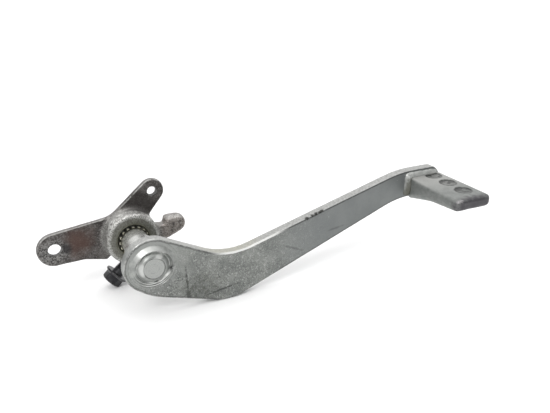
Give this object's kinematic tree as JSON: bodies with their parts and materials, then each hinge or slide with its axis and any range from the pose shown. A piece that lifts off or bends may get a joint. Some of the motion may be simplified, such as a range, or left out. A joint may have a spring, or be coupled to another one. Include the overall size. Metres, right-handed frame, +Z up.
{
  "type": "motorcycle foot lever",
  "caption": "Forged steel foot lever with a welded foot pad and a welded pivot shaft, and a clamped two-armed crank on the shaft's serrations.",
  "frame": {"origin": "on the pivot axis, where the bearing journal begins next to the lever arm's weld", "axes": "+X from the pivot towards the foot pad, +Y inboard along the pivot shaft, +Z up"},
  "size_m": [0.281, 0.1165, 0.0745],
  "materials": {
    "painted_steel": "worn silver paint on forged steel, satin, chipped along its edges",
    "forged_steel": "bare forged steel, dull, with light rust and grease",
    "ground_steel": "ground bearing surface",
    "weld_metal": "rippled weld bead under silver paint",
    "black_bolt": "black oxide, oily"
  },
  "bodies": {
    "pedal": {"lever_arm": "painted_steel", "foot_pad": "painted_steel", "pivot_shaft": "ground_steel", "shaft_weld_outer": "weld_metal", "shaft_weld_inner": "weld_metal", "pad_weld_upper": "weld_metal", "pad_weld_side": "weld_metal"},
    "crank": {"brake_crank": "forged_steel"},
    "bolt": {"pinch_bolt": "black_bolt"}
  },
  "joints": [
    {"name": "crank_slide", "type": "slide", "parent": "pedal", "child": "crank", "axis": [0, 1, 0], "range_m": [0, 0.075]},
    {"name": "pinch_bolt_travel", "type": "slide", "parent": "crank", "child": "bolt", "axis": [0.7314, 0, 0.682], "range_m": [-0.02, 0.0096]}
  ]
}
